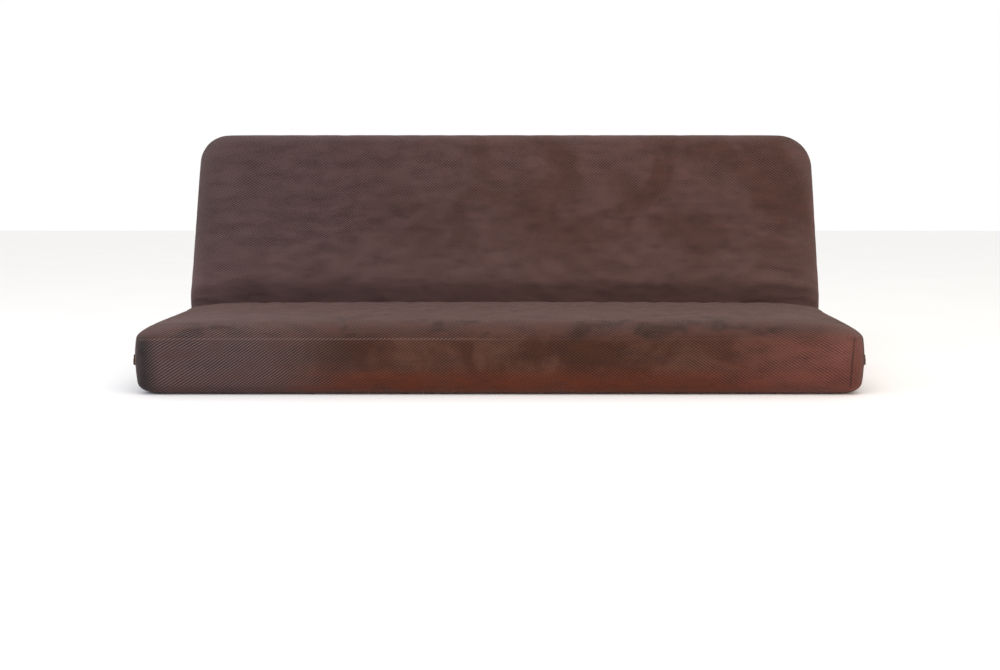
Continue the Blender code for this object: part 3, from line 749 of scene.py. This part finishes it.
# ---- Sliders, tabs and stops ------------------------------------------------------------------------------
# Die-cast zinc, enamelled dark bronze: a thin even gloss, rubbed to a lighter metal in small spots.
bronze, tree, shader = new_finish("bronze_enamelled_zinc", Metallic=0.85, Roughness=0.34)
RUBBED_SPOT = 0.0024
coords = add_node(tree, "ShaderNodeTexCoord", out="Object")
rubbed = add_node(tree, "ShaderNodeTexNoise", {"Vector": coords, "Scale": 1 / RUBBED_SPOT, "Detail": 3.0})
share = add_node(tree, "ShaderNodeMapRange", {"Value": rubbed, "From Min": 0.55, "From Max": 0.72})
metals = {0: share, 6: linear("#3a2d25"), 7: linear("#8a7763")}
tint = add_node(tree, "ShaderNodeMix", metals, 2, data_type="RGBA")
tree.links.new(tint, shader.inputs["Base Color"])
grain = add_node(tree, "ShaderNodeBump", {"Height": rubbed, "Strength": 0.15, "Distance": 0.0002})
tree.links.new(grain, shader.inputs["Normal"])

# ---- Inside the cover -------------------------------------------------------------------------------------
# The fill of batting and foam cores, with its felt washers and the label, in a casing of cotton ticking.
# Each finish is a fine pattern of its real grain between two close colours. Each line here gives a slot, the
# finish's name, its dark and light colour, its grain in metres, bump depth and roughness.
INNER_FINISHES = {
    "ticking_cotton": ("plain_woven_cotton_ticking", "#c9bfa9", "#ded6c4", 0.0022, 0.0002, 0.90),
    "batting": ("matted_cotton_fibre", "#dcd6ca", "#f0ece4", 0.012, 0.0015, 1.0),
    "foam": ("open_cell_foam", "#d9c487", "#ecdcaa", 0.0018, 0.0006, 0.95),
    "tuft_felt": ("pressed_wool_felt", "#8d8371", "#a89c88", 0.003, 0.0004, 1.0),
    "label_cloth": ("spun_bonded_label", "#e4e2dc", "#f2f0ea", 0.0012, 0.0001, 0.9),
}
inner_looks = {"zip_metal": bronze}
for slot_name, (name, dark, light, grain_size, depth, roughness) in INNER_FINISHES.items():
    inner_looks[slot_name], tree, shader = new_finish(name, Roughness=roughness)
    coords = add_node(tree, "ShaderNodeTexCoord", out="Object")
    grain = add_node(tree, "ShaderNodeTexNoise", {"Vector": coords, "Scale": 1 / grain_size, "Detail": 4.0})
    dyes = {0: grain, 6: linear(dark), 7: linear(light)}
    tint = add_node(tree, "ShaderNodeMix", dyes, 2, data_type="RGBA")
    relief = add_node(tree, "ShaderNodeBump", {"Height": grain, "Distance": depth})
    tree.links.new(tint, shader.inputs["Base Color"])
    tree.links.new(relief, shader.inputs["Normal"])

# The ticking lies just under the cover all over and crosses the fold without a break, as the cover does. The
# zip's sliders run into it at the inner end of their travel. The rest of the fill keeps its own shapes.
TICKING_DEPTH = 0.0052
edges = flat_points[faces]
normals = np.cross(edges[:, 2] - edges[:, 0], edges[:, 3] - edges[:, 1])
outward = np.stack([
    sum(np.bincount(faces[:, corner], normals[:, axis], len(flat_points)) for corner in range(4))
    for axis in range(3)
], axis=-1)
outward /= np.linalg.norm(outward, axis=1, keepdims=True)
ticking = new_piece("cotton_ticking", folded(flat_points - TICKING_DEPTH * outward), faces)
ticking.data.materials.append(inner_looks["ticking_cotton"])
TICKING_SIDES = ("underside", "boxing", "topside")
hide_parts(*(f"{half}_ticking_{side}" for half in ("seat", "back") for side in TICKING_SIDES))
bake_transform(ticking)
for subpart in frame["record"]["subparts"]:
    if subpart["material_slot"] in inner_looks:
        bpy.data.objects[subpart["node"]].material_slots[0].material = inner_looks[subpart["material_slot"]]

# ---- Floor and light --------------------------------------------------------------------------------------
# A pale studio floor. Large soft boxes: a cool one high on the left, a warm one low on the right, and the
# main one overhead.
FLOOR_HALF = 9.0
floor_corners = FLOOR_HALF * np.array([[-1, -1, 0], [1, -1, 0], [1, 1, 0], [-1, 1, 0]])
floor = new_piece("floor", floor_corners, np.array([[0, 1, 2, 3]]))
floor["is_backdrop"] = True
paint, tree, shader = new_finish("matt_studio_floor", Roughness=0.95)
coords = add_node(tree, "ShaderNodeTexCoord", out="Object")
mottle = add_node(tree, "ShaderNodeTexNoise", {"Vector": coords, "Scale": 3.0, "Detail": 2.0})
paints = {0: mottle, 6: linear("#f1f0ee"), 7: linear("#f5f4f2")}
tint = add_node(tree, "ShaderNodeMix", paints, 2, data_type="RGBA")
tree.links.new(tint, shader.inputs["Base Color"])
floor.data.materials.append(paint)


def soft_box(name, place, target, size, power, colour):
    """A square area light that faces a point."""
    light = bpy.data.lights.new(name, "AREA")
    light.size = size
    light.energy = power
    light.color = linear(colour)[:3]
    lamp = bpy.data.objects.new(name, light)
    lamp.location = place
    lamp.rotation_euler = (Vector(target) - Vector(place)).to_track_quat("-Z", "Y").to_euler()
    bpy.context.scene.collection.objects.link(lamp)


soft_box("main_light", (0.3, -1.8, 3.2), (0, 0, 0.3), 2.6, 40, "#fff8f2")
soft_box("cool_light", (-3.0, -2.0, 1.8), (-0.6, 0, 0.3), 1.8, 30, "#cfdcff")
soft_box("warm_light", (3.0, -2.2, 1.2), (0.6, 0, 0.3), 1.6, 26, "#ffcfa8")
world = bpy.data.worlds.new("studio")
world.use_nodes = True
world.node_tree.nodes["Background"].inputs["Color"].default_value = linear("#ffffff")
world.node_tree.nodes["Background"].inputs["Strength"].default_value = 1.0
bpy.context.scene.world = world
bpy.context.scene.view_settings.view_transform = "Standard"

low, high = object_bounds()
